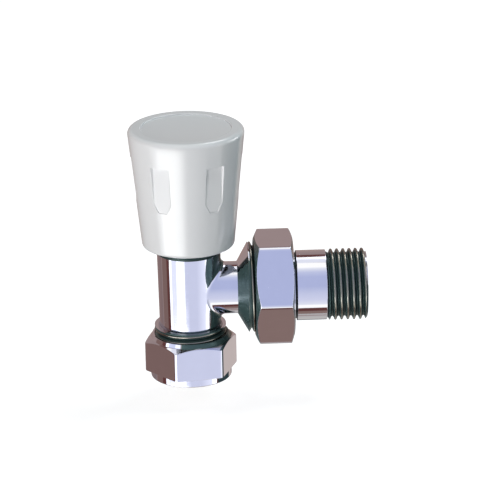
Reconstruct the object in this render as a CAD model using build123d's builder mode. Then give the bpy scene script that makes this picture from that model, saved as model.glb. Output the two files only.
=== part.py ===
from build123d import *

import os
from math import atan, cos, degrees, hypot, radians, sin, sqrt, tan

# Manual radiator valve, angle pattern, with a compression inlet and a union tail.
# Frame: millimetres, +Z up the valve axis, +X along the outlet. The origin is the centre of the
# pipe entry in the bottom face of the compression nut.

# Pipe and compression joint
pipe_diameter = 15.0
pipe_clearance = 0.1
stop_rise = 0.55
olive_length = 6.0
olive_exposed = 3.8
olive_wall = 0.9
olive_band = 1.2
olive_taper = 15.0
olive_gap = 0.07

nut_wall = 1.5225
nut_height = 13.2
nut_skirt_height = 2.35
nut_skirt_step = 0.16
nut_corner_height = 10.79
nut_chamfer = 30.0
nut_neck_wall = 0.6
nut_neck_height = 1.15
nut_step_gap = 1.2
nut_turn = 10.2

# Pipe threads, 14 turns to the inch
thread_pitch = 1.814
thread_depth = 1.162
thread_crest = 0.35
thread_root = 0.25
thread_clearance = 0.07
half_inch_diameter = 20.955
three_quarter_inch_diameter = 26.441
lead_chamfer = 0.9

# Body
inlet_lap = 6.8
inlet_exposed = 3.25
inlet_land = 0.45
barrel_foot_wall = 0.94
barrel_head_wall = 1.41
barrel_edge = 0.4
seat_web = 2.6
seat_lip = 1.0
seat_lip_width = 1.15
seat_radius = 4.75
waterway_radius = 5.6
branch_rise = 0.42
chamber_step = 0.7
chamber_headroom = 4.08
bonnet_bore_radius = 8.0
bonnet_thread_length = 10.2
branch_wall = 2.05
branch_fillet = 1.8
cone_reach = 13.9
cone_length = 3.2
union_thread_length = 7.3
union_land = 0.3

# Union nut
union_wall = 1.7795
union_thread_exposed = 1.8
union_mouth_chamfer = 24.0
union_end_chamfer = 18.0
union_face_step = 0.8
union_flange_width = 2.3
union_hole_clearance = 0.12

# Tail
seal_thickness = 1.0
collar_thickness = 2.5
collar_clearance = 0.69
flange_gap = 0.1
neck_step = 0.66
neck_length = 3.2
tail_barrel_step = 0.2175
tail_barrel_length = 8.7
tail_thread_length = 11.4
tail_nose = 0.5
key_across_flats = 12.0
key_ledge = 0.4
key_depth = 10.0
fine_chamfer = 0.3

# Headwork
slip = 0.05
bonnet_flat_margin = 0.5
bonnet_hex_height = 4.5
bonnet_neck_wall = 1.6
bonnet_neck_height = 5.5
bonnet_seal_thickness = 0.5
spindle_stem_radius = 4.0
spindle_thread_step = 1.0
spindle_thread_length = 13.0
spindle_thread_inset = 0.5
spindle_shank_step = 0.6
spindle_rise = 3.75
lift_reserve = 0.25
relief_step = 0.4
packing_width = 1.6
packing_height = 2.8
packing_washer_thickness = 0.6
gland_flat_margin = 0.4
gland_hex_height = 3.0
gland_gap = 0.3

# Jumper and seat washer
washer_thickness = 2.4
jumper_rim = 0.7
jumper_rim_drop = 1.6
jumper_thickness = 2.2
jumper_stem_radius = 2.2
jumper_stem_length = 6.3
stem_clearance = 0.08
clip_rise = 3.6
clip_thickness = 0.6
clip_depth = 0.5
clip_bite = 0.7
washer_screw_head_radius = 2.4
washer_screw_head_height = 1.2
washer_screw_shank_radius = 1.2
washer_screw_depth = 3.0
washer_screw_slot_width = 0.7
washer_screw_slot_depth = 0.6

# Handwheel
wheel_lap = 5.4
wheel_length = 34.9
wheel_foot_radius = 13.45
wheel_shoulder_drop = 2.25
wheel_shoulder_radius = 16.77
wheel_foot_round = 1.8
wheel_shoulder_round = 2.6
wheel_wall = 2.0
plate_thickness = 1.5
hub_radius = 6.5
hub_gap = 2.2
square_across_flats = 5.6
square_clearance = 0.06
screw_recess = 0.3
rib_count = 6
rib_width = 1.2
rib_height = 5.5
rib_bite = 0.4

# Grips moulded into the handwheel
grip_count = 6
grip_top_drop = 7.8
grip_side_drop = 19.0
grip_tip_drop = 21.7
grip_width = 5.3
grip_tip_width = 2.6
grip_depth_top = 0.85
grip_depth_tip = 0.3
grip_turn = 0.0

# Cap disc and wheel screw
dish_radius = 13.2
dish_round = 0.45
cap_gap = 0.08
cap_recess = 0.4
cap_thickness = 1.3
cap_skirt_width = 1.1
cap_dish = 0.35
screw_head_radius = 3.5
screw_head_height = 1.9
screw_room = 0.25
screw_radius = 2.0
screw_length = 8.0
screw_round = 0.5
screw_slot_width = 0.9
screw_slot_depth = 0.8
lock_washer_thickness = 0.8
lock_washer_radius = 3.7

# Radii and heights along the valve axis that follow from the sizes above
socket_radius = pipe_diameter / 2 + pipe_clearance
half_inch_radius = half_inch_diameter / 2
three_quarter_inch_radius = three_quarter_inch_diameter / 2
nut_across_flats = 2 * (half_inch_radius + nut_wall)
barrel_foot_radius = bonnet_bore_radius + barrel_foot_wall
barrel_head_radius = bonnet_bore_radius + barrel_head_wall
chamber_radius = bonnet_bore_radius - chamber_step
branch_radius = waterway_radius + branch_wall
inlet_foot = nut_height - inlet_lap
olive_foot = inlet_foot - olive_exposed
inlet_ring_top = nut_height + inlet_exposed
pipe_stop = inlet_ring_top + stop_rise
seat_floor = pipe_stop + seat_web
seat_height = seat_floor + seat_lip
branch_height = seat_height + waterway_radius + branch_rise
chamber_top = branch_height + waterway_radius + chamber_headroom
body_top = chamber_top + bonnet_thread_length
bonnet_hex_foot = body_top + bonnet_seal_thickness
bonnet_hex_top = bonnet_hex_foot + bonnet_hex_height
bonnet_top = bonnet_hex_top + bonnet_neck_height
packing_foot = bonnet_hex_top - packing_washer_thickness
packing_top = packing_foot + packing_height
packing_washer_top = packing_top + packing_washer_thickness
gland_hex_foot = bonnet_top + gland_gap
gland_top = gland_hex_foot + gland_hex_height
wheel_skirt_height = body_top - wheel_lap
wheel_height = wheel_skirt_height + wheel_length
cap_top = wheel_height - cap_recess
screw_head_top = cap_top - cap_dish - cap_thickness - screw_room
lock_washer_top = screw_head_top - screw_head_height
plate_top = lock_washer_top - lock_washer_thickness
plate_height = plate_top - plate_thickness
hub_foot = gland_top + hub_gap

# Places along the outlet axis
cone_end = cone_reach + cone_length
union_mouth_reach = cone_end + union_thread_exposed
body_end = cone_end + union_thread_length
collar_face = body_end + seal_thickness
collar_back = collar_face + collar_thickness
flange_face = collar_back + flange_gap
union_end = flange_face + union_flange_width
tail_barrel_start = collar_back + neck_length
tail_thread_start = tail_barrel_start + tail_barrel_length
tail_thread_end = tail_thread_start + tail_thread_length
tail_end = tail_thread_end + tail_nose

outlet_axis = Axis((0, 0, branch_height), (1, 0, 0))


def outline(*points, mode=Mode.ADD):
    """Closed polygon in the open sketch, corner by corner."""
    return Polygon(*points, align=None, mode=mode)


def thread_teeth(start, end, crest_radius, upright):
    """V grooves between start and end, one for each pitch, cut from the open profile."""
    half_mouth = (thread_pitch - thread_crest) / 2
    half_root = thread_root / 2
    count = max(1, int((end - start) / thread_pitch))
    first = start + ((end - start) - (count - 1) * thread_pitch) / 2
    flare = half_root + (half_mouth - half_root) * (thread_depth + slip) / thread_depth
    groove = [(slip, -flare), (slip, flare), (-thread_depth, half_root), (-thread_depth, -half_root)]
    for turn in range(count):
        centre = first + turn * thread_pitch
        if upright:
            points = [(crest_radius + depth, centre + along) for depth, along in groove]
        else:
            points = [(centre + along, branch_height + crest_radius + depth) for depth, along in groove]
        outline(*points, mode=Mode.SUBTRACT)


def corner_radius(across_flats):
    """Radius to the corners of a hexagon."""
    return across_flats / 2 / cos(radians(30))


def wheel_radius(height):
    """Outer radius of the handwheel's straight taper."""
    slope = (wheel_shoulder_radius - wheel_foot_radius) / (wheel_length - wheel_shoulder_drop)
    return wheel_foot_radius + slope * (height - wheel_skirt_height)


# Valve body: inlet thread, barrel, branch, cone and union thread in one forging
barrel_slope = (barrel_head_radius - barrel_foot_radius) / (body_top - inlet_ring_top)
olive_radius = socket_radius + olive_wall
olive_slope = tan(radians(olive_taper))
olive_band_top = olive_foot + (olive_length + olive_band) / 2
mouth_radius = olive_radius + olive_gap - olive_slope * (inlet_foot - olive_band_top)
mouth_depth = (mouth_radius - socket_radius) / olive_slope

with BuildPart() as valve_body:
    with BuildSketch(Plane.XZ):
        outline(
            (0, inlet_foot),
            (half_inch_radius - lead_chamfer, inlet_foot),
            (half_inch_radius, inlet_foot + lead_chamfer),
            (half_inch_radius, inlet_ring_top),
            (barrel_foot_radius, inlet_ring_top),
            (barrel_head_radius - barrel_slope * barrel_edge, body_top - barrel_edge),
            (barrel_head_radius - barrel_edge, body_top),
            (0, body_top),
        )
        thread_teeth(inlet_foot + lead_chamfer, inlet_ring_top - inlet_land, half_inch_radius, True)
    revolve(axis=Axis.Z)
    with BuildSketch(Plane.XZ):
        outline(
            (0, branch_height),
            (0, branch_height + branch_radius),
            (cone_reach, branch_height + branch_radius),
            (cone_end, branch_height + three_quarter_inch_radius),
            (body_end - lead_chamfer, branch_height + three_quarter_inch_radius),
            (body_end, branch_height + three_quarter_inch_radius - lead_chamfer),
            (body_end, branch_height),
        )
        thread_teeth(cone_end + union_land, body_end - lead_chamfer, three_quarter_inch_radius, False)
    revolve(axis=outlet_axis)
    joined_edges = valve_body.edges(Select.LAST).filter_by_position(
        Axis.X, 0, barrel_head_radius + slip
    )
    plain_edges = (GeomType.LINE, GeomType.CIRCLE)
    fillet(joined_edges.filter_by(lambda edge: edge.geom_type not in plain_edges), branch_fillet)
    with BuildSketch(Plane.XZ):
        outline(
            (0, inlet_foot),
            (mouth_radius, inlet_foot),
            (socket_radius, inlet_foot + mouth_depth),
            (socket_radius, pipe_stop),
            (waterway_radius, pipe_stop),
            (waterway_radius, pipe_stop + seat_web / 2),
            (seat_radius, pipe_stop + seat_web / 2),
            (seat_radius, seat_height),
            (seat_radius + seat_lip_width, seat_height),
            (seat_radius + seat_lip_width, seat_floor),
            (chamber_radius, seat_floor),
            (chamber_radius, chamber_top),
            (bonnet_bore_radius, chamber_top),
            (bonnet_bore_radius, body_top),
            (0, body_top),
        )
    revolve(axis=Axis.Z, mode=Mode.SUBTRACT)
    with BuildSketch(Plane.YZ):
        with Locations((0, branch_height)):
            Circle(waterway_radius)
    extrude(amount=body_end, mode=Mode.SUBTRACT)

# Compression nut: hexagon over a round skirt, chamfered and necked at the top
nut_bore_radius = half_inch_radius + thread_clearance
nut_corner_radius = corner_radius(nut_across_flats)
nut_neck_radius = nut_bore_radius + nut_neck_wall
nut_neck_foot = nut_height - nut_neck_height
nut_shoulder_radius = nut_corner_radius - (nut_neck_foot - nut_corner_height) / tan(radians(nut_chamfer))
olive_band_foot = olive_foot + (olive_length - olive_band) / 2
nut_cone_radius = olive_radius + olive_gap
nut_cone_foot = olive_band_foot - (nut_cone_radius - socket_radius - slip) / olive_slope
nut_step = inlet_foot - nut_step_gap

with BuildPart() as compression_nut:
    with BuildSketch(Plane.XY):
        RegularPolygon(nut_across_flats / 2, 6, major_radius=False, rotation=nut_turn)
    extrude(amount=nut_height)
    with BuildSketch(Plane.XZ):
        outline(
            (socket_radius + slip, 0),
            (nut_across_flats / 2 - nut_skirt_step - fine_chamfer, 0),
            (nut_across_flats / 2 - nut_skirt_step, fine_chamfer),
            (nut_across_flats / 2 - nut_skirt_step, nut_skirt_height),
            (nut_corner_radius, nut_skirt_height),
            (nut_corner_radius, nut_corner_height),
            (nut_shoulder_radius, nut_neck_foot),
            (nut_neck_radius, nut_height),
            (nut_bore_radius, nut_height),
            (nut_bore_radius, nut_step),
            (nut_cone_radius, nut_step),
            (nut_cone_radius, olive_band_foot),
            (socket_radius + slip, nut_cone_foot),
        )
    revolve(axis=Axis.Z, mode=Mode.INTERSECT)

# Olive: soft brass ring with a taper at each end
with BuildPart() as olive:
    olive_end_radius = olive_radius - olive_slope * (olive_length - olive_band) / 2
    with BuildSketch(Plane.XZ):
        outline(
            (socket_radius, olive_foot),
            (olive_end_radius, olive_foot),
            (olive_radius, olive_band_foot),
            (olive_radius, olive_band_top),
            (olive_end_radius, olive_foot + olive_length),
            (socket_radius, olive_foot + olive_length),
        )
    revolve(axis=Axis.Z)

# Union nut: hexagon chamfered at both ends, with an inward flange that holds the tail's collar
union_across_flats = 2 * (three_quarter_inch_radius + union_wall)
union_corner_radius = corner_radius(union_across_flats)
union_face_radius = union_across_flats / 2 - union_face_step
union_outside = union_corner_radius + 1
union_bore_radius = three_quarter_inch_radius + thread_clearance
union_hole_radius = half_inch_radius + union_hole_clearance
mouth_run = (union_outside - union_face_radius) * tan(radians(union_mouth_chamfer))
end_run = (union_outside - union_face_radius) * tan(radians(union_end_chamfer))

with BuildPart() as union_nut:
    with BuildSketch(Plane.YZ.offset(union_mouth_reach)):
        with Locations((0, branch_height)):
            RegularPolygon(union_across_flats / 2, 6, major_radius=False)
    extrude(amount=union_end - union_mouth_reach)
    with BuildSketch(Plane.XZ):
        outline(
            (union_mouth_reach, branch_height + union_bore_radius + fine_chamfer),
            (union_mouth_reach, branch_height + union_face_radius),
            (union_mouth_reach + mouth_run, branch_height + union_outside),
            (union_end - end_run, branch_height + union_outside),
            (union_end, branch_height + union_face_radius),
            (union_end, branch_height + union_hole_radius),
            (flange_face, branch_height + union_hole_radius),
            (flange_face, branch_height + union_bore_radius),
            (union_mouth_reach + fine_chamfer, branch_height + union_bore_radius),
        )
    revolve(axis=outlet_axis, mode=Mode.INTERSECT)

# Tail seal: flat ring between the body's end and the collar
with BuildPart() as tail_seal:
    with BuildSketch(Plane.YZ.offset(body_end)):
        with Locations((0, branch_height)):
            Circle(three_quarter_inch_radius - lead_chamfer - slip)
            Circle(waterway_radius + slip, mode=Mode.SUBTRACT)
    extrude(amount=seal_thickness)

# Tail: collar, neck, smooth barrel, radiator thread and a hexagon key socket
collar_radius = three_quarter_inch_radius - collar_clearance
barrel_radius = half_inch_radius - tail_barrel_step
neck_radius = barrel_radius - neck_step
tail_bore_radius = key_across_flats / 2 - key_ledge

with BuildPart() as tail_piece:
    with BuildSketch(Plane.XZ):
        outline(
            (collar_face, branch_height + tail_bore_radius),
            (collar_face, branch_height + collar_radius),
            (collar_back, branch_height + collar_radius),
            (collar_back, branch_height + neck_radius),
            (tail_barrel_start, branch_height + neck_radius),
            (tail_barrel_start, branch_height + barrel_radius - fine_chamfer),
            (tail_barrel_start + fine_chamfer, branch_height + barrel_radius),
            (tail_thread_start - fine_chamfer, branch_height + barrel_radius),
            (tail_thread_start, branch_height + barrel_radius - fine_chamfer),
            (tail_thread_start, branch_height + half_inch_radius),
            (tail_thread_end, branch_height + half_inch_radius),
            (tail_end, branch_height + half_inch_radius - lead_chamfer),
            (tail_end, branch_height + tail_bore_radius),
        )
        thread_teeth(tail_thread_start, tail_thread_end, half_inch_radius, False)
    revolve(axis=outlet_axis)
    with BuildSketch(Plane.YZ.offset(tail_end - key_depth)):
        with Locations((0, branch_height)):
            RegularPolygon(key_across_flats / 2, 6, major_radius=False)
    extrude(amount=key_depth, mode=Mode.SUBTRACT)

# Bonnet: screws into the barrel and guides the spindle
bonnet_across_flats = 2 * (bonnet_bore_radius + bonnet_flat_margin)
bonnet_thread_radius = bonnet_bore_radius - slip
packing_bore_radius = spindle_stem_radius + packing_width
bonnet_neck_radius = packing_bore_radius + bonnet_neck_wall
spindle_thread_radius = spindle_stem_radius + spindle_thread_step
spindle_shank_radius = spindle_thread_radius - spindle_shank_step
spindle_bore_radius = spindle_thread_radius + thread_clearance
relief_radius = spindle_bore_radius + relief_step
spindle_thread_top = body_top - spindle_thread_inset
spindle_thread_foot = spindle_thread_top - spindle_thread_length
relief_top = spindle_thread_top + spindle_rise + lift_reserve
stem_hole_radius = spindle_stem_radius + stem_clearance

with BuildPart() as bonnet:
    with BuildSketch(Plane.XY.offset(bonnet_hex_foot)):
        RegularPolygon(bonnet_across_flats / 2, 6, major_radius=False)
    extrude(amount=bonnet_hex_height)
    with BuildSketch(Plane.XZ):
        outline(
            (0, chamber_top + slip),
            (bonnet_thread_radius - lead_chamfer / 2, chamber_top + slip),
            (bonnet_thread_radius, chamber_top + slip + lead_chamfer / 2),
            (bonnet_thread_radius, bonnet_hex_foot),
            (0, bonnet_hex_foot),
        )
        outline(
            (0, bonnet_hex_top),
            (bonnet_neck_radius, bonnet_hex_top),
            (bonnet_neck_radius, bonnet_top - fine_chamfer),
            (bonnet_neck_radius - fine_chamfer, bonnet_top),
            (0, bonnet_top),
        )
    revolve(axis=Axis.Z)
    with BuildSketch(Plane.XZ):
        outline(
            (0, chamber_top),
            (spindle_bore_radius, chamber_top),
            (spindle_bore_radius, spindle_thread_top),
            (relief_radius, spindle_thread_top),
            (relief_radius, relief_top),
            (stem_hole_radius, relief_top),
            (stem_hole_radius, packing_foot),
            (packing_bore_radius, packing_foot),
            (packing_bore_radius, bonnet_top),
            (0, bonnet_top),
        )
    revolve(axis=Axis.Z, mode=Mode.SUBTRACT)

# Bonnet seal: thin ring between the barrel's top and the bonnet's hexagon
with BuildPart() as bonnet_seal:
    with BuildSketch(Plane.XY.offset(body_top)):
        Circle(barrel_head_radius - barrel_edge)
        Circle(bonnet_bore_radius, mode=Mode.SUBTRACT)
    extrude(amount=bonnet_seal_thickness)

# Gland packing, its metal washer and the gland nut
with BuildPart() as gland_packing:
    with BuildSketch(Plane.XY.offset(packing_foot)):
        Circle(packing_bore_radius - slip)
        Circle(stem_hole_radius, mode=Mode.SUBTRACT)
    extrude(amount=packing_height)

with BuildPart() as packing_washer:
    with BuildSketch(Plane.XY.offset(packing_top)):
        Circle(packing_bore_radius - slip)
        Circle(stem_hole_radius, mode=Mode.SUBTRACT)
    extrude(amount=packing_washer_thickness)

gland_across_flats = 2 * (packing_bore_radius + gland_flat_margin)

with BuildPart() as gland_nut:
    with BuildSketch(Plane.XY.offset(gland_hex_foot)):
        RegularPolygon(gland_across_flats / 2, 6, major_radius=False)
    extrude(amount=gland_hex_height)
    with BuildSketch(Plane.XZ):
        outline(
            (0, packing_washer_top),
            (packing_bore_radius - slip, packing_washer_top),
            (packing_bore_radius - slip, gland_hex_foot),
            (0, gland_hex_foot),
        )
    revolve(axis=Axis.Z)
    with BuildSketch(Plane.XY.offset(packing_washer_top)):
        Circle(stem_hole_radius)
    extrude(amount=gland_top - packing_washer_top, mode=Mode.SUBTRACT)

# Jumper: cup for the seat washer, on a stem that turns freely in the spindle
washer_radius = seat_radius + seat_lip_width
washer_top = seat_height + washer_thickness
jumper_radius = washer_radius + jumper_rim
jumper_top = washer_top + jumper_thickness
stem_top = jumper_top + jumper_stem_length
clip_foot = jumper_top + clip_rise
clip_groove_radius = jumper_stem_radius - clip_depth

with BuildPart() as jumper:
    with BuildSketch(Plane.XZ):
        outline(
            (0, washer_top),
            (washer_radius + slip, washer_top),
            (washer_radius + slip, washer_top - jumper_rim_drop),
            (jumper_radius, washer_top - jumper_rim_drop),
            (jumper_radius, jumper_top),
            (jumper_stem_radius, jumper_top),
            (jumper_stem_radius, clip_foot - slip),
            (clip_groove_radius, clip_foot - slip),
            (clip_groove_radius, clip_foot + clip_thickness + slip),
            (jumper_stem_radius, clip_foot + clip_thickness + slip),
            (jumper_stem_radius, stem_top),
            (0, stem_top),
        )
    revolve(axis=Axis.Z)
    with BuildSketch(Plane.XY.offset(washer_top)):
        Circle(washer_screw_shank_radius + slip)
    extrude(amount=washer_screw_depth + slip, mode=Mode.SUBTRACT)

with BuildPart() as jumper_clip:
    with BuildSketch(Plane.XY.offset(clip_foot)):
        Circle(jumper_stem_radius + clip_bite)
        Circle(clip_groove_radius + slip, mode=Mode.SUBTRACT)
    extrude(amount=clip_thickness)

with BuildPart() as seat_washer:
    with BuildSketch(Plane.XY.offset(seat_height)):
        Circle(washer_radius)
        Circle(washer_screw_shank_radius + slip, mode=Mode.SUBTRACT)
    extrude(amount=washer_thickness)

with BuildPart() as washer_screw:
    with BuildSketch(Plane.XZ):
        outline(
            (0, seat_height - washer_screw_head_height),
            (washer_screw_head_radius, seat_height - washer_screw_head_height),
            (washer_screw_head_radius, seat_height),
            (washer_screw_shank_radius, seat_height),
            (washer_screw_shank_radius, washer_top + washer_screw_depth),
            (0, washer_top + washer_screw_depth),
        )
    revolve(axis=Axis.Z)
    with BuildSketch(Plane.XY.offset(seat_height - washer_screw_head_height)):
        Rectangle(2 * washer_screw_head_radius, washer_screw_slot_width)
    extrude(amount=washer_screw_slot_depth, mode=Mode.SUBTRACT)

# Spindle: shank over the jumper, thread, plain stem through the gland, square for the wheel
spindle_foot = jumper_top + slip
spindle_top = plate_top - screw_recess
stem_socket_radius = jumper_stem_radius + stem_clearance
clip_socket_radius = jumper_stem_radius + clip_bite + stem_clearance

with BuildPart() as spindle:
    with BuildSketch(Plane.XZ):
        outline(
            (0, spindle_foot),
            (spindle_shank_radius, spindle_foot),
            (spindle_shank_radius, spindle_thread_foot),
            (spindle_thread_radius, spindle_thread_foot + spindle_shank_step),
            (spindle_thread_radius, spindle_thread_top - stem_clearance),
            (spindle_stem_radius, spindle_thread_top - stem_clearance),
            (spindle_stem_radius, hub_foot),
            (0, hub_foot),
        )
    revolve(axis=Axis.Z)
    with BuildSketch(Plane.XY.offset(hub_foot)):
        Rectangle(square_across_flats, square_across_flats)
    extrude(amount=spindle_top - hub_foot)
    with BuildSketch(Plane.XZ):
        outline(
            (0, spindle_foot),
            (stem_socket_radius, spindle_foot),
            (stem_socket_radius, clip_foot - stem_clearance),
            (clip_socket_radius, clip_foot - stem_clearance),
            (clip_socket_radius, clip_foot + clip_thickness + stem_clearance),
            (stem_socket_radius, clip_foot + clip_thickness + stem_clearance),
            (stem_socket_radius, stem_top + stem_clearance),
            (0, stem_top + stem_clearance),
        )
        outline(
            (0, spindle_top),
            (0, spindle_top - screw_length),
            (screw_radius, spindle_top - screw_length),
            (screw_radius, spindle_top),
        )
    revolve(axis=Axis.Z, mode=Mode.SUBTRACT)

# Handwheel: tapered shell open below, with a screw plate, a hub and ribs inside
square_hole = square_across_flats + 2 * square_clearance
grip_top_height = wheel_height - grip_top_drop
grip_tip_height = wheel_height - grip_tip_drop
grip_drop = grip_tip_drop - grip_top_drop
floor_top = wheel_radius(grip_top_height) - grip_depth_top
floor_tip = wheel_radius(grip_tip_height) - grip_depth_tip
floor_length = hypot(grip_drop, floor_top - floor_tip)
floor_lean = degrees(atan((floor_top - floor_tip) / grip_drop))
side_length = floor_length * (grip_tip_drop - grip_side_drop) / grip_drop

with BuildPart() as handwheel:
    with BuildSketch(Plane.XZ):
        outline(
            (0, wheel_skirt_height),
            (wheel_foot_radius, wheel_skirt_height),
            (wheel_radius(wheel_height), wheel_height),
            (0, wheel_height),
        )
    revolve(axis=Axis.Z)
    rims = handwheel.edges().filter_by(GeomType.CIRCLE).sort_by(Axis.Z)
    fillet(rims[0], wheel_foot_round)
    fillet(rims[-1], wheel_shoulder_round)
    with BuildSketch(Plane.XZ):
        outline(
            (hub_radius, plate_height),
            (hub_radius, hub_foot),
            (0, hub_foot),
            (0, wheel_skirt_height),
            (wheel_foot_radius - wheel_wall, wheel_skirt_height),
            (wheel_radius(plate_height) - wheel_wall, plate_height),
        )
        outline(
            (0, plate_top),
            (dish_radius, plate_top),
            (dish_radius, wheel_height),
            (0, wheel_height),
        )
    revolve(axis=Axis.Z, mode=Mode.SUBTRACT)
    dish_edges = handwheel.edges().filter_by(GeomType.CIRCLE).filter_by(
        lambda edge: abs(edge.radius - dish_radius) < slip
    )
    fillet(dish_edges.sort_by(Axis.Z)[-1], dish_round)
    with BuildSketch(Plane.XY.offset(plate_height - rib_height)):
        rib_reach = wheel_radius(plate_height) - wheel_wall + rib_bite
        rib_length = rib_reach - hub_radius + rib_bite
        with PolarLocations(rib_reach - rib_length / 2, rib_count, start_angle=180 / rib_count):
            Rectangle(rib_length, rib_width)
    extrude(amount=rib_height)
    with BuildSketch(Plane.XY.offset(hub_foot)):
        Rectangle(square_hole, square_hole)
    extrude(amount=plate_top - hub_foot, mode=Mode.SUBTRACT)
    for grip in range(grip_count):
        bearing = radians(grip_turn + 360 / grip_count * grip)
        lean = radians(floor_lean)
        outward = (cos(bearing) * cos(lean), sin(bearing) * cos(lean), -sin(lean))
        across = (-sin(bearing), cos(bearing), 0)
        tip = (floor_tip * cos(bearing), floor_tip * sin(bearing), grip_tip_height)
        with BuildSketch(Plane(origin=tip, x_dir=across, z_dir=outward)):
            outline(
                (-grip_tip_width / 2, 0),
                (grip_tip_width / 2, 0),
                (grip_width / 2, side_length),
                (grip_width / 2, floor_length),
                (-grip_width / 2, floor_length),
                (-grip_width / 2, side_length),
            )
        extrude(amount=wheel_wall, mode=Mode.SUBTRACT)

# Cap disc: snaps into the dish and hides the wheel screw
cap_radius = dish_radius - cap_gap
cap_sphere = (cap_radius ** 2 + cap_dish ** 2) / (2 * cap_dish)
cap_middle_rise = cap_sphere - sqrt(cap_sphere ** 2 - cap_radius ** 2 / 4)

with BuildPart() as cap_disc:
    with BuildSketch(Plane.XZ):
        with BuildLine():
            Polyline(
                (0, cap_top - cap_dish - cap_thickness),
                (cap_radius - cap_skirt_width, cap_top - cap_thickness),
                (cap_radius - cap_skirt_width, plate_top),
                (cap_radius, plate_top),
                (cap_radius, cap_top),
            )
            ThreePointArc(
                (cap_radius, cap_top),
                (cap_radius / 2, cap_top - cap_dish + cap_middle_rise),
                (0, cap_top - cap_dish),
            )
            Line((0, cap_top - cap_dish), (0, cap_top - cap_dish - cap_thickness))
        make_face()
    revolve(axis=Axis.Z)

# Lock washer and wheel screw
with BuildPart() as lock_washer:
    with BuildSketch(Plane.XY.offset(plate_top)):
        Circle(lock_washer_radius)
        Circle(screw_radius + slip, mode=Mode.SUBTRACT)
    extrude(amount=lock_washer_thickness)

with BuildPart() as wheel_screw:
    with BuildSketch(Plane.XY.offset(lock_washer_top)):
        Circle(screw_head_radius)
    extrude(amount=screw_head_height)
    fillet(wheel_screw.faces().sort_by(Axis.Z)[-1].edges(), screw_round)
    with BuildSketch(Plane.XY.offset(lock_washer_top)):
        Circle(screw_radius - slip)
    extrude(amount=-(lock_washer_top - spindle_top + screw_length - slip))
    with BuildSketch(Plane.XY.offset(lock_washer_top + screw_head_height)):
        Rectangle(2 * screw_head_radius, screw_slot_width)
    extrude(amount=-screw_slot_depth, mode=Mode.SUBTRACT)

valve_body.part.label = "valve_body"
compression_nut.part.label = "compression_nut"
olive.part.label = "olive"
union_nut.part.label = "union_nut"
tail_seal.part.label = "tail_seal"
tail_piece.part.label = "tail_piece"
bonnet.part.label = "bonnet"
bonnet_seal.part.label = "bonnet_seal"
gland_packing.part.label = "gland_packing"
packing_washer.part.label = "packing_washer"
gland_nut.part.label = "gland_nut"
jumper.part.label = "jumper"
jumper_clip.part.label = "jumper_clip"
seat_washer.part.label = "seat_washer"
washer_screw.part.label = "washer_screw"
spindle.part.label = "spindle"
handwheel.part.label = "handwheel"
cap_disc.part.label = "cap_disc"
lock_washer.part.label = "lock_washer"
wheel_screw.part.label = "wheel_screw"

os.makedirs("parts", exist_ok=True)
export_step(valve_body.part, "parts/valve_body.step")
export_step(compression_nut.part, "parts/compression_nut.step")
export_step(olive.part, "parts/olive.step")
export_step(union_nut.part, "parts/union_nut.step")
export_step(tail_seal.part, "parts/tail_seal.step")
export_step(tail_piece.part, "parts/tail_piece.step")
export_step(bonnet.part, "parts/bonnet.step")
export_step(bonnet_seal.part, "parts/bonnet_seal.step")
export_step(gland_packing.part, "parts/gland_packing.step")
export_step(packing_washer.part, "parts/packing_washer.step")
export_step(gland_nut.part, "parts/gland_nut.step")
export_step(jumper.part, "parts/jumper.step")
export_step(jumper_clip.part, "parts/jumper_clip.step")
export_step(seat_washer.part, "parts/seat_washer.step")
export_step(washer_screw.part, "parts/washer_screw.step")
export_step(spindle.part, "parts/spindle.step")
export_step(handwheel.part, "parts/handwheel.step")
export_step(cap_disc.part, "parts/cap_disc.step")
export_step(lock_washer.part, "parts/lock_washer.step")
export_step(wheel_screw.part, "parts/wheel_screw.step")
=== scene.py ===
from math import cos, pi, radians, sin

import bpy
import numpy as np
from mathutils import Matrix, Vector


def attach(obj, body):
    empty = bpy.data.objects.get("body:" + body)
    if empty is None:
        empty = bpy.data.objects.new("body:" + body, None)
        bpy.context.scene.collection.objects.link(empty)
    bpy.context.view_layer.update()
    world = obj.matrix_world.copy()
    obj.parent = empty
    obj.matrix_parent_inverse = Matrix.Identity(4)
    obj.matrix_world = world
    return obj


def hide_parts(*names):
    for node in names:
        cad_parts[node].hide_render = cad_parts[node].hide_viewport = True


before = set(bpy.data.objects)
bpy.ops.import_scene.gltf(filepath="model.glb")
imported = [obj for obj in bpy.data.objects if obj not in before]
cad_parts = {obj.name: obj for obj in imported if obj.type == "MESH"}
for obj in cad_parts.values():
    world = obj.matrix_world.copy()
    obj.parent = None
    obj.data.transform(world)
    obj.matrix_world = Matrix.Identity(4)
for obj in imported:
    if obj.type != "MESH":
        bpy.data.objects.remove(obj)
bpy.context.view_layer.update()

# Looks of an angle radiator valve: polished chrome fittings under a gloss white handwheel.
# Lengths below are in millimetres and become metres where a mesh or an object is made.
mm = 0.001
branch_height = 26.62

# Threads: pitch, depth and flats of the V, and the place of one crest along each thread
thread_pitch = 1.814
thread_depth = 1.162
thread_crest = 0.2
thread_root = 0.25
half_inch_radius = 10.4775
three_quarter_inch_radius = 13.2205
inlet_crest = 15.6
union_crest = 17.34
tail_crest = 41.1
thread_columns = 240
thread_rows_per_turn = 20

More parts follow.
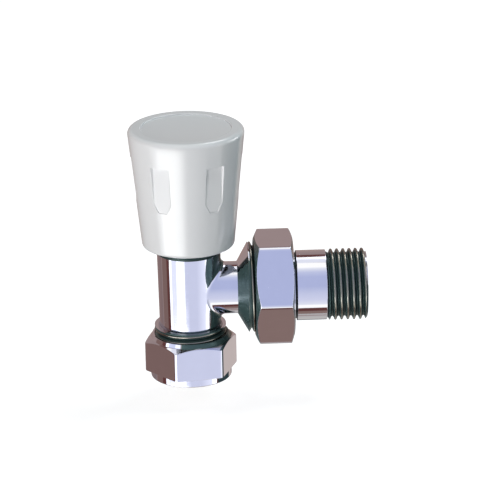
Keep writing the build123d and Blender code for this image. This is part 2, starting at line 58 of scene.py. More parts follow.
# Body: where the CAD's ring grooves lie, the radius that they are pressed to, and the helical sleeves
# that lie over them
inlet_grooves_start = 6.45
inlet_grooves_end = 16.5
inlet_grooves_inner = 9.3
inlet_grooves_outer = 10.6
inlet_pressed_radius = 8.97
inlet_sleeve_start = 6.42
inlet_sleeve_end = 15.85
inlet_sleeve_bore = 8.85
inlet_land = 0.4
union_grooves_start = 17.15
union_grooves_end = 24.35
union_grooves_inner = 11.9
union_pressed_radius = 11.8
union_sleeve_start = 17.02
union_sleeve_end = 24.39
union_sleeve_bore = 11.5
union_land = 0.2
sleeve_chamfer = 0.9
sleeve_land_drop = 0.04
sleeve_rim_rise = 0.01

# Body: the thin ring round the barrel at the wheel's foot, which carries a painted shadow line, the part
# of the cone painted dark as a dark reflection, and the side of the barrel next to the branch painted dark
# as a dark reflection, whose bearings are degrees from the front towards the outlet
shadow_ring_bore = 9.0
shadow_ring_radius = 9.42
shadow_ring_foot = 38.3
shadow_ring_top = 40.5
cone_start = 13.8
cone_inner_reach = 7.6
cone_bright_share = 0.78
shaded_side_foot = 16.3
shaded_side_furthest_x = 13.0
shaded_side_reach = 7.7
shaded_side_start_low = 37.0
shaded_side_start_high = 43.0
shaded_side_end = 140.0

# Hexagons: columns of the surface along each flat
columns_per_flat = 44

# Compression nut, whose hexagon is turned by nut_turn
nut_flat_radius = 12.0
nut_corner_sharpness = 45
nut_corner_radius = 13.8564
nut_chamfer = radians(30)
nut_turn = radians(10.2)
nut_height = 13.2
nut_skirt_radius = 11.84
nut_skirt_height = 2.35
nut_skirt_chamfer = 0.3
nut_chamfer_start = 10.79
nut_shoulder_height = 12.05
nut_shoulder_radius = 11.674
nut_neck_radius = 11.1475
nut_bore_radius = 10.5475
nut_step = 5.2
nut_pipe_radius = 7.65
nut_cone_radius = 8.57
nut_cone_top = 5.0
nut_cone_foot = 1.567
# The side of the compression nut's chamfer that is painted dark as a dark reflection
nut_shaded_bearing = radians(-45)

# Union nut
union_flat_radius = 15.0
union_corner_sharpness = 44
union_face_radius = 14.2
union_nut_start = 18.9
union_nut_end = 30.3
union_mouth_chamfer = radians(24)
union_end_chamfer = radians(18)
union_bore_radius = 13.2905
union_hole_radius = 10.5975
union_flange_start = 28.0
union_lead_in_radius = 13.59
union_lead_in_end = 19.2

# Tail
tail_start = 25.4
tail_collar_end = 27.9
tail_collar_radius = 12.5305
tail_neck_radius = 9.6
tail_neck_end = 31.1
tail_barrel_radius = 10.26
tail_barrel_end = 39.8
tail_end = 51.7
tail_bore_radius = 5.6
key_flat_radius = 6.0
key_corner_sharpness = 150
thread_start_radius = 9.4
thread_guide_end = 41.0
nose_radius = 9.4
key_foot = 41.71
face_middle_radius = 7.6
tail_thread_rows = 124
tail_start_slope = 1.4
tail_nose_slope = 1.5
key_chamfer = 0.12
key_middle = 46.0

# Handwheel
wheel_foot = 40.5
wheel_top = 76.0
wheel_foot_radius = 13.39
wheel_shoulder_radius = 16.77
wheel_shoulder_drop = 2.25
wheel_wall = 2.0
plate_height = 69.5
plate_top = 71.0
dish_radius = 13.14
hub_radius = 6.5
hub_foot = 62.5
square_half_width = 2.86
square_corner_sharpness = 100
grip_count = 6
grip_top = 68.2
grip_side_end = 57.0
grip_tip = 54.3
grip_half_width = 2.93
grip_tip_half_width = 1.4
grip_depth_top = 0.95
grip_depth_tip = 0.3
grip_side_share = 0.09
grip_end_rise = 0.03
rib_start = 6.2
rib_end = 14.1
rib_half_width = 0.6
rib_foot = 64.0
rib_top = 69.6

# Tones of the attribute groove, which paints light and shade into the plate's colour: 0 plain polished
# plate, 1 a thread's crest as a painted pale reflection, 2 a thread's root in painted shade. The tones
# below paint shade and dark reflections on the chamfers, the cone, the barrel's side, the neck and an
# edge, and a painted shadow line on the ring at the wheel's foot
chamfer_shade_tone = 1.3
shade_tone = 1.35
mouth_shade_tone = 1.4
shadow_ring_tone = 1.75
neck_shade_tone = 1.8
edge_shade_tone = 1.8

# Camera, fitted to the photograph
camera_azimuth = -2.0
camera_elevation = 19.98
camera_roll = -1.02
camera_place = (-15.28, -948.97, 383.2)
camera_lens = 250.05
camera_sensor = 36.0
camera_clip = 0.01

# Studio
floor_height = -7.4
floor_half = 3000.0
floor_grey = (0.8, 0.8, 0.8, 1)
floor_seen_grey = (0.42, 0.42, 0.42, 1)
floor_glow = 0.85
world_tint = (0.80, 0.95, 1.0, 1)
world_strength = 0.1
tent_radius = 1500.0
tent_centre = (12.0, 0.0, 30.0)
lamp_distance = 900.0
lamp_size = 450.0


class Wiring:
    """Adds shader nodes to one tree and joins them."""

    def __init__(self, tree):
        self.tree = tree

    def add(self, kind, **settings):
        """A new node of this kind, with its plain settings."""
        made = self.tree.nodes.new(kind)
        for name, value in settings.items():
            setattr(made, name, value)
        return made

    def feed(self, socket, source):
        """Joins a node's output to a socket, or sets the socket to a plain value."""
        if isinstance(source, bpy.types.NodeSocket):
            self.tree.links.new(source, socket)
        else:
            socket.default_value = source

    def sum(self, operation, *sources):
        """A Math node of this operation on one, two or three sources."""
        made = self.add("ShaderNodeMath", operation=operation)
        for place, source in enumerate(sources):
            self.feed(made.inputs[place], source)
        return made.outputs[0]

    def ramp(self, source, stops):
        """A colour ramp over source with straight steps between its (place, colour) stops."""
        made = self.add("ShaderNodeValToRGB")
        made.color_ramp.interpolation = "LINEAR"
        elements = made.color_ramp.elements
        while len(elements) < len(stops):
            elements.new(1.0)
        for element, (place, colour) in zip(elements, stops):
            element.position = place
            element.color = (*colour, 1.0)
        self.feed(made.inputs["Fac"], source)
        return made.outputs["Color"]

    def mix(self, share, first, second, blend="MIX"):
        """The colour first where share is 0, and second blended onto it where share is 1."""
        made = self.add("ShaderNodeMix", data_type="RGBA", blend_type=blend)
        self.feed(made.inputs["Factor"], share)
        self.feed(made.inputs["A"], first)
        self.feed(made.inputs["B"], second)
        return made.outputs["Result"]


def new_material(name):
    """An empty node material and its wiring."""
    material = bpy.data.materials.new(name)
    material.use_nodes = True
    material.node_tree.nodes.clear()
    return material, Wiring(material.node_tree)


def finish_surface(wiring, shader):
    """Joins the shader to the material's surface."""
    output = wiring.add("ShaderNodeOutputMaterial")
    wiring.feed(output.inputs["Surface"], shader)


def mesh_object(name, vertices, faces):
    """A new object with this mesh at the origin; vertices are in millimetres."""
    mesh = bpy.data.meshes.new(name)
    mesh.from_pydata(np.asarray(vertices) * mm, [], faces)
    mesh.validate()
    made = bpy.data.objects.new(name, mesh)
    bpy.context.scene.collection.objects.link(made)
    return made


# Camera
def make_camera():
    """Camera at the photograph's place: turned by azimuth, raised by elevation, rolled about its view."""
    turn, rise, roll = radians(camera_azimuth), radians(camera_elevation), radians(camera_roll)
    right = Vector((cos(turn), sin(turn), 0))
    back = Vector((sin(turn) * cos(rise), -cos(turn) * cos(rise), sin(rise)))
    up = back.cross(right)
    rolled_right = cos(roll) * right + sin(roll) * up
    rolled_up = cos(roll) * up - sin(roll) * right
    rotation = Matrix((rolled_right, rolled_up, back)).transposed().to_4x4()
    data = bpy.data.cameras.new("camera")
    data.lens = camera_lens
    data.sensor_width = camera_sensor
    data.sensor_fit = "HORIZONTAL"
    data.clip_start = camera_clip
    camera = bpy.data.objects.new("camera", data)
    camera.matrix_world = Matrix.Translation(Vector(camera_place) * mm) @ rotation
    bpy.context.scene.collection.objects.link(camera)
    bpy.context.scene.camera = camera


# Studio: white floor and background, three soft lamps, and a tent that only reflections see
def seen_directly(wiring):
    """1 for the camera and for reflections, 0 for the rays that carry light."""
    path = wiring.add("ShaderNodeLightPath")
    return wiring.sum("MAXIMUM", path.outputs["Is Camera Ray"], path.outputs["Is Glossy Ray"])


def make_floor():
    """A flat floor that the camera sees as white, apart from the object's soft shadow."""
    corners = [(-floor_half, -floor_half, floor_height), (floor_half, -floor_half, floor_height),
               (floor_half, floor_half, floor_height), (-floor_half, floor_half, floor_height)]
    floor = mesh_object("studio_floor", corners, [(0, 1, 2, 3)])
    material, wiring = new_material("floor_white")
    seen = seen_directly(wiring)
    paper = wiring.add("ShaderNodeBsdfDiffuse")
    wiring.feed(paper.inputs["Color"], wiring.mix(seen, floor_grey, floor_seen_grey))
    glow = wiring.add("ShaderNodeEmission")
    wiring.feed(glow.inputs["Strength"], wiring.sum("MULTIPLY", seen, floor_glow))
    both = wiring.add("ShaderNodeAddShader")
    wiring.feed(both.inputs[0], paper.outputs[0])
    wiring.feed(both.inputs[1], glow.outputs[0])
    finish_surface(wiring, both.outputs[0])
    floor.data.materials.append(material)
    floor.visible_glossy = False


def make_world():
    """White for the camera, soft grey light for everything else."""
    world = bpy.data.worlds.new("studio_world")
    bpy.context.scene.world = world
    world.use_nodes = True
    world.node_tree.nodes.clear()
    wiring = Wiring(world.node_tree)
    seen = seen_directly(wiring)
    background = wiring.add("ShaderNodeBackground")
    strength = wiring.sum("MULTIPLY_ADD", seen, 1 - world_strength, world_strength)
    wiring.feed(background.inputs["Color"], wiring.mix(seen, world_tint, (1, 1, 1, 1)))
    wiring.feed(background.inputs["Strength"], strength)
    output = wiring.add("ShaderNodeOutputWorld")
    wiring.feed(output.inputs["Surface"], background.outputs[0])


def make_lamp(name, azimuth, elevation, power, colour):
    """A square soft lamp aimed at the object's middle from this direction, unseen in reflections."""
    turn, rise = radians(azimuth), radians(elevation)
    away = Vector((sin(turn) * cos(rise), -cos(turn) * cos(rise), sin(rise)))
    data = bpy.data.lights.new(name, "AREA")
    data.size = lamp_size * mm
    data.energy = power
    data.color = colour
    lamp = bpy.data.objects.new(name, data)
    lamp.location = (Vector(tent_centre) + away * lamp_distance) * mm
    lamp.rotation_euler = away.to_track_quat("Z", "Y").to_euler()
    lamp.visible_glossy = False
    bpy.context.scene.collection.objects.link(lamp)


def tent_colours(wiring):
    """Colour of the tent by direction from its middle, as softboxes and dark flags stand round polished
    metal: bands by height in front and behind, bands by azimuth at the sides, and patches over them.
    Azimuth is 0 in front and 90 to the right, height is 90 straight up, both in degrees."""
    white = (1.7, 1.65, 1.5)
    paper = (1.25, 1.25, 1.25)
    pale = (1.25, 1.25, 1.27)
    cloud = (1.02, 1.03, 1.18)
    haze = (0.9, 0.93, 1.12)
    mist = (0.86, 0.9, 1.1)
    lavender = (0.70, 0.75, 1.02)
    silver = (0.72, 0.68, 0.62)
    sand = (0.76, 0.64, 0.57)
    slate = (0.27, 0.28, 0.29)
    green = (0.045, 0.075, 0.075)
    mauve = (0.50, 0.37, 0.33)
    clay = (0.45, 0.335, 0.305)
    tawny = (0.365, 0.24, 0.2)
    umber = (0.33, 0.22, 0.2)
    brown = (0.31, 0.19, 0.16)
    red = (0.18, 0.065, 0.055)
    black, dim, full = (0, 0, 0), (0.22, 0.22, 0.22), (1, 1, 1)

    coordinates = wiring.add("ShaderNodeTexCoord")
    unit = wiring.add("ShaderNodeVectorMath", operation="NORMALIZE")
    wiring.feed(unit.inputs[0], coordinates.outputs["Object"])
    axes = wiring.add("ShaderNodeSeparateXYZ")
    wiring.feed(axes.inputs[0], unit.outputs[0])
    forward = wiring.sum("MULTIPLY", axes.outputs["Y"], -1.0)
    turn = wiring.sum("ARCTAN2", axes.outputs["X"], forward)
    azimuth = wiring.sum("MULTIPLY_ADD", turn, 1 / (2 * pi), 0.5)
    rise = wiring.sum("ARCSINE", axes.outputs["Z"])
    height = wiring.sum("MULTIPLY_ADD", rise, 1 / pi, 0.5)

    def by_height(*stops):
        return wiring.ramp(height, [((degrees + 90) / 180, colour) for degrees, colour in stops])

    def by_azimuth(*stops):
        return wiring.ramp(azimuth, [((degrees + 180) / 360, colour) for degrees, colour in stops])

    def patch(azimuths, heights):
        """1 between the middle two of four azimuths and of four heights, fading to 0 at the outer two."""
        edges = (black, full, full, black)
        return wiring.sum("MULTIPLY", by_azimuth(*zip(azimuths, edges)), by_height(*zip(heights, edges)))

    ahead = by_height(
        (-90, mauve), (-85, tawny), (-78, tawny), (-75, brown), (-73, red), (-62, red), (-60, white),
        (-50, white), (-47, paper), (-30, cloud), (-8, haze), (15, lavender), (46, lavender), (62, mist),
        (74, paper), (80, white))
    behind = by_height(
        (-90, mauve), (-80, mauve), (-74, silver), (-50, silver), (-42, slate), (-26, slate),
        (-22, umber), (0, mauve), (42, clay), (44, red), (55, red), (57, white), (61, white), (64, pale),
        (80, pale), (84, white))
    sides = by_azimuth(
        (-118, mauve), (-116, brown), (-92, brown), (-90, red), (-79, red), (-77, white), (0, white),
        (74, white), (76, red), (79, red), (81, green), (132, green), (136, sand))
    low_sides = by_azimuth(
        (-92, brown), (-90, red), (-79, red), (-77, white), (74, white), (76, red), (79, red),
        (82, silver))
    low = by_height((-42, full), (-41, black))
    in_front = by_azimuth((-78, black), (-76, full), (73, full), (75, black))
    at_back = by_azimuth((-122, full), (-118, black), (150, black), (154, full))
    overhead = by_height((81, black), (83, full))
    strip_turn = by_azimuth(
        (-78, black), (-77, full), (-71, full), (-68, dim), (-50, dim), (-46, full), (-22, full),
        (-16, black), (26, black), (58, dim), (66, full), (74, full), (75, black))
    strip_height = by_height((-55, black), (-48, full), (20, full), (30, black))
    strip = wiring.sum("MULTIPLY", strip_turn, strip_height)
    right_softbox = patch((88, 94, 118, 126), (2, 8, 21, 25))
    back_softbox = patch((124, 140, 167, 173), (45, 51, 61, 67))
    right_flag = patch((12, 80, 150, 156), (-42, -40, -28, -26))
    low_softbox = patch((-71, -62, -20, -2), (-46, -38, -25.5, -23))

    colour = wiring.mix(in_front, wiring.mix(low, sides, low_sides), ahead)
    colour = wiring.mix(at_back, colour, behind)
    for share, light in ((right_softbox, (6.0, 6.0, 6.0)), (back_softbox, (8.0, 8.0, 8.0)),
                         (overhead, white), (strip, (2.6, 2.6, 2.6)), (right_flag, green),
                         (low_softbox, (8.5, 8.5, 8.5))):
        colour = wiring.mix(share, colour, (*light, 1))
    return colour


def make_tent():
    """A sphere round the object, seen only by reflections: the radius times
    (cos e sin a, -cos e cos a, sin e)."""
    turns, rings = 64, 33
    a = np.linspace(-pi, pi, turns, endpoint=False)
    e = np.linspace(-pi / 2, pi / 2, rings)[1:-1]
    rise, turn = np.meshgrid(e, a, indexing="ij")
    body = np.stack([np.cos(rise) * np.sin(turn), -np.cos(rise) * np.cos(turn), np.sin(rise)], -1)
    points = np.concatenate([body.reshape(-1, 3), [(0, 0, -1), (0, 0, 1)]]) * tent_radius
    row, column = np.meshgrid(np.arange(rings - 3), np.arange(turns), indexing="ij")
    here, there = row * turns + column, row * turns + (column + 1) % turns
    quads = np.stack([here, here + turns, there + turns, there], -1).reshape(-1, 4)
    ring = np.arange(turns)
    after = (ring + 1) % turns
    south = np.stack([ring, after, np.full(turns, len(points) - 2)], -1)
    top = (rings - 3) * turns
    north = np.stack([top + after, top + ring, np.full(turns, len(points) - 1)], -1)
    tent = mesh_object("studio_tent", points, quads.tolist() + south.tolist() + north.tolist())
    tent.location = Vector(tent_centre) * mm
    material, wiring = new_material("tent_light")
    glow = wiring.add("ShaderNodeEmission")
    wiring.feed(glow.inputs["Color"], tent_colours(wiring))
    finish_surface(wiring, glow.outputs[0])
    material.cycles.emission_sampling = "NONE"
    tent.data.materials.append(material)
    for ray in ("camera", "diffuse", "transmission", "volume_scatter", "shadow"):
        setattr(tent, "visible_" + ray, False)


# Shapes
def polygon_radius(flat_radius, sides, angle, sharpness):
    """Radius of a regular polygon at these angles, with softly rounded corners: the flat radius times the
    sum of cos(angle - bearing) ** sharpness over the sides, to the power -1 / sharpness. Side bearings
    start at angle 0, and a larger sharpness gives tighter corners."""
    bearings = 2 * pi * np.arange(sides) / sides
    facing = np.clip(np.cos(angle[:, None] - bearings), 0.01, None)
    return flat_radius * (facing ** sharpness).sum(-1) ** (-1 / sharpness)


def corner_columns(sides, per_side):
    """Angles round a polygon, dense at its corners: the share s runs from -1 to 1 along each side, and
    three quarters of the angle follow sign(s) (1 - (1 - |s|) cubed) and one quarter follows s."""
    share = np.linspace(-1, 1, per_side, endpoint=False)
    pull = np.sign(share) * (1 - (1 - np.abs(share)) ** 3)
    half = pi / sides
    return (half * (0.75 * pull + 0.25 * share) + 2 * half * np.arange(sides)[:, None]).reshape(-1)


def rounded_section(corners, rounds, steps=5, limit=0.36):
    """Closed section with rounded corners. corners[k] is (radius, along) for each column, rounds[k] is how
    far the round reaches back along both sides, at most limit times the shorter side. Each round is the
    circular arc ((1-t)^2 start + 2wt(1-t) corner + t^2 end) / ((1-t)^2 + 2wt(1-t) + t^2), where w is the
    cosine of half the turn, with a holding point past each end that keeps the flats flat."""
    before = np.roll(corners, 1, axis=0) - corners
    after = np.roll(corners, -1, axis=0) - corners
    before_length = np.linalg.norm(before, axis=-1, keepdims=True)
    after_length = np.linalg.norm(after, axis=-1, keepdims=True)
    before, after = before / before_length, after / after_length
    weight = np.sqrt((1 - (before * after).sum(-1, keepdims=True)) / 2)
    wanted = np.asarray(rounds, dtype=float)[:, None, None]
    reach = np.minimum(wanted, limit * np.minimum(before_length, after_length))
    before, after = before * reach, after * reach
    t = np.linspace(0, 1, steps)[:, None, None, None]
    share = (1 - t) ** 2 + 2 * weight * t * (1 - t) + t ** 2
    arcs = corners + ((1 - t) ** 2 * before + t ** 2 * after) / share
    rows = np.concatenate([(corners + 1.1 * before)[None], arcs, (corners + 1.1 * after)[None]])
    return rows.transpose(1, 0, 2, 3).reshape(-1, corners.shape[1], 2)


def section_corners(columns, *corners):
    """Corners as one array [corner, column, (radius, along)], from a number or an array for each."""
    table = np.zeros((len(corners), columns, 2))
    for row, (radius, along) in enumerate(corners):
        table[row, :, 0] = radius
        table[row, :, 1] = along
    return table


def around_z(section, angle):
    """Points of a section turned about the valve axis: (r cos a, r sin a, along)."""
    radius, along = section[..., 0], section[..., 1]
    return np.stack([radius * np.cos(angle), radius * np.sin(angle), along], -1)


def around_x(section, angle):
    """Points of a section turned about the outlet axis: (along, r cos a, branch height + r sin a)."""
    radius, along = section[..., 0], section[..., 1]
    return np.stack([along, radius * np.cos(angle), branch_height + radius * np.sin(angle)], -1)


def closed_grid(points):
    """Vertices and outward quads of a surface closed both ways, from points[row, column]."""
    rows, columns = points.shape[:2]
    row, column = np.meshgrid(np.arange(rows), np.arange(columns), indexing="ij")
    below, beside = (row + 1) % rows, (column + 1) % columns
    quads = np.stack([row * columns + column, row * columns + beside,
                      below * columns + beside, below * columns + column], -1).reshape(-1, 4)
    vertices = points.reshape(-1, 3)
    a, b, c, d = (vertices[quads[:, k]] for k in range(4))
    volume = (a * np.cross(b, c)).sum() + (a * np.cross(c, d)).sum()
    return vertices, quads if volume > 0 else quads[:, ::-1]


def smoothstep(share):
    """3s^2 - 2s^3 of the share held between 0 and 1."""
    held = np.clip(share, 0, 1)
    return held * held * (3 - 2 * held)


def groove_share(along, angle, start):
    """How deep a right-hand V thread is, 0 on the crest to 1 in the root: a crest passes along = start at
    angle 0 and climbs one pitch in each turn."""
    phase = (along - start) / thread_pitch - angle / (2 * pi)
    away = np.abs((phase + 0.5) % 1 - 0.5) * thread_pitch
    half_crest = thread_crest / 2
    run = thread_pitch / 2 - half_crest - thread_root / 2
    return smoothstep((away - half_crest) / run)


def shade_smoothly(mesh):
    """Smooth shading on every face of the mesh."""
    mesh.polygons.foreach_set("use_smooth", np.ones(len(mesh.polygons), dtype=bool))


def new_piece(name, points, material, body, node, groove=None):
    """One smooth object from a closed grid, riding on a body and standing for a CAD node."""
    vertices, quads = closed_grid(points)
    made = mesh_object(name, vertices, quads.tolist())
    shade_smoothly(made.data)
    if groove is not None:
        # The groove attribute carries the painted shade and reflection tones
        layer = made.data.attributes.new("groove", "FLOAT", "POINT")
        layer.data.foreach_set("value", groove.reshape(-1).astype(np.float32))
    made.data.materials.append(material)
    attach(made, body)
    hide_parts(node)


def make_compression_nut(material):
    """Hexagon over a round skirt, chamfered and necked at the top. The chamfer starts at a height that
    rises by (corner radius - radius) times the tangent of nut_chamfer, so it cuts each flat in an arc.
    Its chamfer is painted dark, as a painted dark reflection, on the side of nut_shaded_bearing."""
    angle = corner_columns(6, columns_per_flat)
    turned = angle + nut_turn + pi / 6
    outer = polygon_radius(nut_flat_radius, 6, angle, nut_corner_sharpness)
    arc = nut_chamfer_start + (nut_corner_radius - outer) * np.tan(nut_chamfer)
    corners = section_corners(
        len(angle), (nut_pipe_radius, 0), (nut_skirt_radius - nut_skirt_chamfer, 0),
        (nut_skirt_radius, nut_skirt_chamfer), (nut_skirt_radius, nut_skirt_height),
        (outer, nut_skirt_height), (outer, arc), (nut_shoulder_radius, nut_shoulder_height),
        (nut_neck_radius, nut_height), (nut_bore_radius, nut_height), (nut_bore_radius, nut_step),
        (nut_cone_radius, nut_step), (nut_cone_radius, nut_cone_top),
        (nut_pipe_radius, nut_cone_foot))
    rounds = (0.1, 0.1, 0.1, 0.05, 0.12, 0.14, 0.12, 0.12, 0.1, 0.1, 0.1, 0.1, 0.1)
    section = rounded_section(corners, rounds)
    # Painted dark reflection: the chamfer is darkened on the side of nut_shaded_bearing
    shaded = smoothstep((np.cos(turned - nut_shaded_bearing) - 0.40) / 0.14)
    on_chamfer = smoothstep((section[..., 1] - arc - 0.1) / 0.15)
    new_piece("compression_nut_plated", around_z(section, turned), material, "nut",
              "compression_nut", chamfer_shade_tone * on_chamfer * shaded)


def make_union_nut(material):
    """Larger hexagon with both ends chamfered, bored for the thread and flanged behind the tail's collar.
    Each chamfer reaches further from its end as the radius grows, by the tangent of its angle, so it cuts
    each flat in an arc. The mouth's chamfer is painted dark as a dark reflection, and the outer edge of
    the other one is painted dark as a shade line."""
    angle = corner_columns(6, columns_per_flat)
    outer = polygon_radius(union_flat_radius, 6, angle, union_corner_sharpness)
    mouth = union_nut_start + (outer - union_face_radius) * np.tan(union_mouth_chamfer)
    end = union_nut_end - (outer - union_face_radius) * np.tan(union_end_chamfer)
    corners = section_corners(
        len(angle), (union_lead_in_radius, union_nut_start), (union_face_radius, union_nut_start),
        (outer, mouth), (outer, end), (union_face_radius, union_nut_end),
        (union_hole_radius, union_nut_end), (union_hole_radius, union_flange_start),
        (union_bore_radius, union_flange_start), (union_bore_radius, union_lead_in_end))
    section = rounded_section(corners, (0.1, 0.12, 0.16, 0.16, 0.12, 0.12, 0.1, 0.1, 0.1))
    radius, along = section[..., 0], section[..., 1]
    # Painted dark reflection on the mouth's chamfer and a painted shade line on the end chamfer's outer
    # edge
    on_mouth = smoothstep((mouth + 0.05 - along) / 0.1)
    on_edge = smoothstep((along - end + 0.06) / 0.08) * smoothstep((radius - outer + 0.45) / 0.2)
    new_piece("union_nut_plated", around_x(section, angle + pi / 2), material, "union",
              "union_nut", mouth_shade_tone * on_mouth + edge_shade_tone * on_edge)


def make_tail(material):
    """Collar, neck, smooth barrel, helical thread, chamfered nose and the hexagon key socket inside.
    The thread's radius is its crest radius less its depth times the groove's share, held under a cone
    at each end. The corner at thread_guide_end only steers the round before it, and the thread takes its
    place."""
    angle = 2 * pi * np.arange(thread_columns) / thread_columns
    key = polygon_radius(key_flat_radius, 6, angle + pi / 6, key_corner_sharpness)
    corners = section_corners(
        thread_columns, (tail_bore_radius, tail_start), (tail_collar_radius, tail_start),
        (tail_collar_radius, tail_collar_end), (tail_neck_radius, tail_collar_end),
        (tail_neck_radius, tail_neck_end), (tail_barrel_radius, tail_neck_end),
        (tail_barrel_radius, tail_barrel_end), (thread_start_radius, tail_barrel_end),
        (thread_start_radius, thread_guide_end), (key, key_foot), (tail_bore_radius, key_foot))
    rounds = (0.1, 0.2, 0.2, 0.1, 0.1, 0.16, 0.16, 0.05, 0.05, 0.05, 0.05)
    shaped = rounded_section(corners, rounds)
    per_corner = len(shaped) // len(corners)
    outside, inside = shaped[:8 * per_corner], shaped[9 * per_corner:]
    along = np.linspace(tail_barrel_end + 0.06, tail_end - 0.04, tail_thread_rows)[:, None]
    share = groove_share(along, angle[None, :], tail_crest)
    root_radius = half_inch_radius - thread_depth
    start_cut = root_radius + np.clip((along - tail_barrel_end - 0.1) * tail_start_slope, 0, 2)
    nose_cut = half_inch_radius - 0.05 - np.clip((along - tail_end + 0.6) * tail_nose_slope, 0, 2)
    radius = np.minimum(half_inch_radius - thread_depth * share, np.minimum(start_cut, nose_cut))
    threaded = np.stack([radius, np.broadcast_to(along, radius.shape)], -1)
    face = section_corners(
        thread_columns, (nose_radius, tail_end), (face_middle_radius, tail_end),
        (key + key_chamfer, tail_end), (key, tail_end - 0.1), (key, key_middle))
    on_nose = smoothstep((along - tail_end + 0.65) / 0.15)
    # Painted light and shade: the neck painted dark as shade, the thread's crests a painted pale reflection
    # and its roots painted shade, the nose half-way to the crests' colour
    groove = np.concatenate([
        neck_shade_tone * (outside[..., 1] < tail_neck_end + 0.05),
        1 - 0.3 * on_nose + (half_inch_radius - radius) / thread_depth * (1 - on_nose),
        np.zeros((len(face) + len(inside), thread_columns))])
    section = np.concatenate([outside, threaded, face, inside])
    new_piece("tail_plated", around_x(section, angle), material, "tail", "tail_piece",
              groove)


def thread_sleeve(start, end, crest_radius, bore, crest_place, land_width, chamfer_at_end):
    """Section, angles and tones of a closed ring with a helical thread outside: its radius is the crest
    radius less the depth times the groove's share, held under a chamfer at one end and filled up to a
    flat land at the other. The tones paint a pale reflection on the thread's crests, shade in its roots,
    and shade on the ring's inside. Where the chamfer is at the start, the land has a rim and its paint is
    darker, and the land and the inside stay plain polished plate on the two sides that face along the
    outlet axis."""
    angle = 2 * pi * np.arange(thread_columns) / thread_columns
    along = np.linspace(start, end, int((end - start) / thread_pitch * thread_rows_per_turn))[:, None]
    chamfered, shoulder = (end, start) if chamfer_at_end else (start, end)
    radius = crest_radius - thread_depth * groove_share(along, angle[None, :], crest_place)
    radius = np.minimum(radius, crest_radius - sleeve_chamfer + np.abs(along - chamfered))
    land = smoothstep((land_width - np.abs(along - shoulder)) / 0.15)
    radius = radius + (crest_radius - sleeve_land_drop - radius) * land
    outside = np.stack([radius, np.broadcast_to(along, radius.shape)], -1)
    # Painted light and shade: crests take a painted pale reflection and roots painted shade
    tone = 1 + (crest_radius - radius) / thread_depth
    if chamfer_at_end:
        inside = section_corners(thread_columns, (bore, end), (bore, start))
        unshaded_sides = np.zeros(thread_columns)
    else:
        rim = end + sleeve_rim_rise
        inside = section_corners(thread_columns, (crest_radius - 0.12, rim), (crest_radius - 0.4, rim),
                                 (bore, rim), (bore, start))
        # The land and the inside are painted dark, except on the two sides that face along the outlet axis
        unshaded_sides = smoothstep((-np.cos(angle) - 0.68) / 0.06) + smoothstep((np.cos(angle) - 0.84) / 0.06)
        tone = (tone + 0.4 * land) * (1 - unshaded_sides * land)
    inner_tone = shade_tone * (1 - unshaded_sides) * np.ones((len(inside), 1))
    return np.concatenate([outside, inside]), angle, np.concatenate([tone, inner_tone]).reshape(-1)


def merged_solid(name):
    """Points, triangles and corner normals of a CAD mesh: its loose triangles joined where their corners
    meet within a ten-thousandth of a millimetre, without the empty ones."""
    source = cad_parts[name].data
    places = np.zeros(len(source.vertices) * 3)
    source.vertices.foreach_get("co", places)
    places = places.reshape(-1, 3) / mm
    loops = np.zeros(len(source.loops), dtype=int)
    source.loops.foreach_get("vertex_index", loops)
    normals = np.zeros(len(source.loops) * 3)
    source.corner_normals.foreach_get("vector", normals)
    _, first, merged = np.unique(np.round(places, 4), axis=0, return_index=True, return_inverse=True)
    triangles = merged.reshape(-1)[loops].reshape(-1, 3)
    whole = (triangles != np.roll(triangles, 1, axis=1)).all(-1)
    return places[first], triangles[whole], normals.reshape(-1, 3, 3)[whole].reshape(-1, 3)


def body_tones(points, reach, triangles):
    """Tone of each triangle's corners on the body's own skin, where reach is the distance from the outlet
    axis: a painted dark reflection on the cone except along its top, and on the side of the barrel next to
    the branch."""
    # Painted dark reflection on the cone, left bright along its top
    on_cone = (points[triangles, 0] > cone_start).all(-1) & (reach[triangles] > cone_inner_reach).all(-1)
    upwards = (points[triangles, 2] - branch_height).mean(-1) / reach[triangles].mean(-1)
    cone = on_cone * (1 - smoothstep((upwards - cone_bright_share) / 0.08))
    # Painted dark reflection on the barrel's side next to the branch
    bearing = np.degrees(np.arctan2(points[:, 0], -points[:, 1]))
    start = np.where(points[:, 2] < branch_height, shaded_side_start_low, shaded_side_start_high)
    shaded_side = smoothstep((bearing - start) / 4) * (1 - smoothstep((bearing - shaded_side_end) / 8))
    shaded_side = shaded_side * (points[:, 0] < shaded_side_furthest_x) * (points[:, 2] > shaded_side_foot)
    shaded_side = shaded_side * smoothstep((reach - shaded_side_reach) / 0.4)
    return shade_tone * np.maximum(np.repeat(cone, 3), shaded_side[triangles].reshape(-1))


